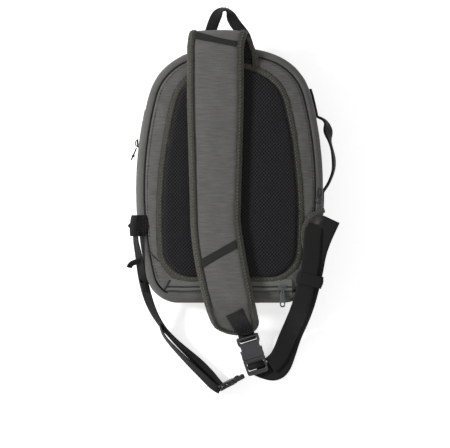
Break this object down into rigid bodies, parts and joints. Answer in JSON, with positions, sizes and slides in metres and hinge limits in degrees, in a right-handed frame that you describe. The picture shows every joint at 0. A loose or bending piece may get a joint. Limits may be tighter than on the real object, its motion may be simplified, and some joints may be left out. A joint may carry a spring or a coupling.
{
  "type": "sling bag",
  "caption": "Egg-shaped fabric sling bag with a padded mesh back panel that opens, a wide padded shoulder strap, side-release buckles and webbing.",
  "frame": {"origin": "centre of the flat front panel, on which the bag rests", "axes": "+Z out of the padded back panel, +Y from the bottom edge to the top, +X across the bag to the right as the back panel is seen"},
  "size_m": [0.293, 0.5468, 0.0886],
  "materials": {
    "grey_fabric": "fine horizontal slub weave",
    "olive_binding": "stitched woven binding",
    "black_webbing": "ribbed webbing",
    "mesh": "spacer mesh",
    "foam": "closed-cell foam",
    "lining": "plain-woven lining",
    "board": "plastic sheet",
    "flap_fabric": "plain weave",
    "zip": "coil zip",
    "buckle_plastic": "satin moulded",
    "zip_metal": "slate coated",
    "cord": "braided cord"
  },
  "bodies": {
    "bag_body": {"front_panel": "grey_fabric", "gusset_band": "grey_fabric", "front_piping": "olive_binding", "lining_wall": "lining", "front_pocket_wall": "lining", "inner_sleeve": "lining", "main_zip_body_half": "zip", "handle_patch_upper": "black_webbing", "handle_patch_lower": "black_webbing", "haul_loop_patch": "black_webbing", "front_pocket_zip": "zip"},
    "back_panel": {"back_fabric": "grey_fabric", "back_stiffener": "board", "back_lining": "lining", "back_foam": "foam", "back_mesh": "mesh", "back_binding": "olive_binding", "main_zip_lid_half": "zip", "pocket_flap_upper": "flap_fabric", "pocket_flap_lower": "flap_fabric", "pocket_zip": "zip", "right_wing": "grey_fabric", "right_wing_binding": "olive_binding", "left_anchor_tab": "black_webbing", "strap_yoke": "grey_fabric"},
    "shoulder_strap": {"strap_face": "grey_fabric", "strap_foam": "foam", "strap_backing": "mesh", "strap_edge_binding": "olive_binding", "strap_tape_upper": "black_webbing", "strap_tape_lower": "black_webbing", "strap_end_webbing": "black_webbing", "main_buckle_socket": "buckle_plastic", "main_buckle_plug": "buckle_plastic", "small_buckle_socket": "buckle_plastic", "small_buckle_plug": "buckle_plastic", "wide_webbing": "black_webbing", "wide_webbing_tail": "black_webbing", "wide_webbing_keeper": "black_webbing", "narrow_webbing": "black_webbing", "narrow_webbing_tail": "black_webbing", "narrow_webbing_keeper": "black_webbing"},
    "main_prong_left": {"main_buckle_prong_left": "buckle_plastic"},
    "main_prong_right": {"main_buckle_prong_right": "buckle_plastic"},
    "small_prong_lower": {"small_buckle_prong_lower": "buckle_plastic"},
    "small_prong_upper": {"small_buckle_prong_upper": "buckle_plastic"},
    "haul_loop": {"haul_loop": "black_webbing"},
    "side_handle": {"side_handle": "black_webbing"},
    "main_slider": {"main_zip_slider": "zip_metal"},
    "main_ring": {"main_zip_ring": "zip_metal"},
    "front_slider": {"front_zip_slider": "zip_metal"},
    "front_pull": {"front_zip_pull": "cord"},
    "pocket_slider": {"pocket_zip_slider": "zip_metal"},
    "pocket_pull": {"pocket_zip_pull": "zip_metal"}
  },
  "joints": [
    {"name": "main_opening", "type": "hinge", "parent": "bag_body", "child": "back_panel", "pos_m": [0, -0.1675, 0.066], "axis": [1, 0, 0], "range_deg": [0, 70]},
    {"name": "shoulder_strap_swing", "type": "hinge", "parent": "back_panel", "child": "shoulder_strap", "pos_m": [0, 0.192, 0.07595], "axis": [-1, 0, 0], "range_deg": [0, 28]},
    {"name": "main_buckle_squeeze_left", "type": "hinge", "parent": "shoulder_strap", "child": "main_prong_left", "pos_m": [0.02612, -0.26816, 0.00877], "axis": [-0.0259, 0.0832, -0.9962], "range_deg": [0, 7], "stiffness_Nm_per_rad": 0.2},
    {"name": "main_buckle_squeeze_right", "type": "hinge", "parent": "shoulder_strap", "child": "main_prong_right", "pos_m": [0.04483, -0.26233, 0.00877], "axis": [0.0259, -0.0832, 0.9962], "range_deg": [0, 7], "stiffness_Nm_per_rad": 0.2},
    {"name": "small_buckle_squeeze_lower", "type": "hinge", "parent": "shoulder_strap", "child": "small_prong_lower", "pos_m": [0.00924, -0.29265, 0.0178], "axis": [0.454, -0.891, 0], "range_deg": [0, 7], "stiffness_Nm_per_rad": 0.1},
    {"name": "small_buckle_squeeze_upper", "type": "hinge", "parent": "shoulder_strap", "child": "small_prong_upper", "pos_m": [0.00924, -0.29265, 0.0082], "axis": [-0.454, 0.891, 0], "range_deg": [0, 7], "stiffness_Nm_per_rad": 0.1},
    {"name": "haul_loop_flop", "type": "hinge", "parent": "bag_body", "child": "haul_loop", "pos_m": [-0.003, 0.186, 0.056], "axis": [1, 0, 0], "range_deg": [-70, 0]},
    {"name": "side_handle_flop", "type": "hinge", "parent": "bag_body", "child": "side_handle", "pos_m": [0.13353, 0.031, 0.044], "axis": [0.0951, -0.9955, 0], "range_deg": [-12, 12]},
    {"name": "main_zip_travel", "type": "hinge", "parent": "bag_body", "child": "main_slider", "pos_m": [-0.407, -0.02, 0.066], "axis": [0, 0, 1], "range_deg": [0, 13]},
    {"name": "main_zip_ring_flip", "type": "hinge", "parent": "main_slider", "child": "main_ring", "pos_m": [0.12577, -0.0311, 0.0686], "axis": [-1, 0, 0], "range_deg": [0, 75]},
    {"name": "front_zip_travel", "type": "hinge", "parent": "bag_body", "child": "front_slider", "pos_m": [0.407, -0.02, 0.028], "axis": [0, 0, 1], "range_deg": [-4, 11]},
    {"name": "front_zip_pull_swing", "type": "hinge", "parent": "front_slider", "child": "front_pull", "pos_m": [-0.13596, 0.0404, 0.028], "axis": [0, 0, -1], "range_deg": [0, 75]},
    {"name": "pocket_zip_travel", "type": "slide", "parent": "back_panel", "child": "pocket_slider", "axis": [-1, 0, 0], "range_m": [0, 0.034]},
    {"name": "pocket_zip_pull_flip", "type": "hinge", "parent": "pocket_slider", "child": "pocket_pull", "pos_m": [0.074, -0.1631, 0.07055], "axis": [-1, 0, 0], "range_deg": [0, 70]}
  ],
  "couplings": [
    {"joint": "pocket_zip_pull_flip", "follows": "main_opening", "ratio": 1},
    {"joint": "shoulder_strap_swing", "follows": "main_opening", "ratio": 0.4},
    {"joint": "main_buckle_squeeze_right", "follows": "main_buckle_squeeze_left", "ratio": 1},
    {"joint": "small_buckle_squeeze_upper", "follows": "small_buckle_squeeze_lower", "ratio": 1}
  ]
}
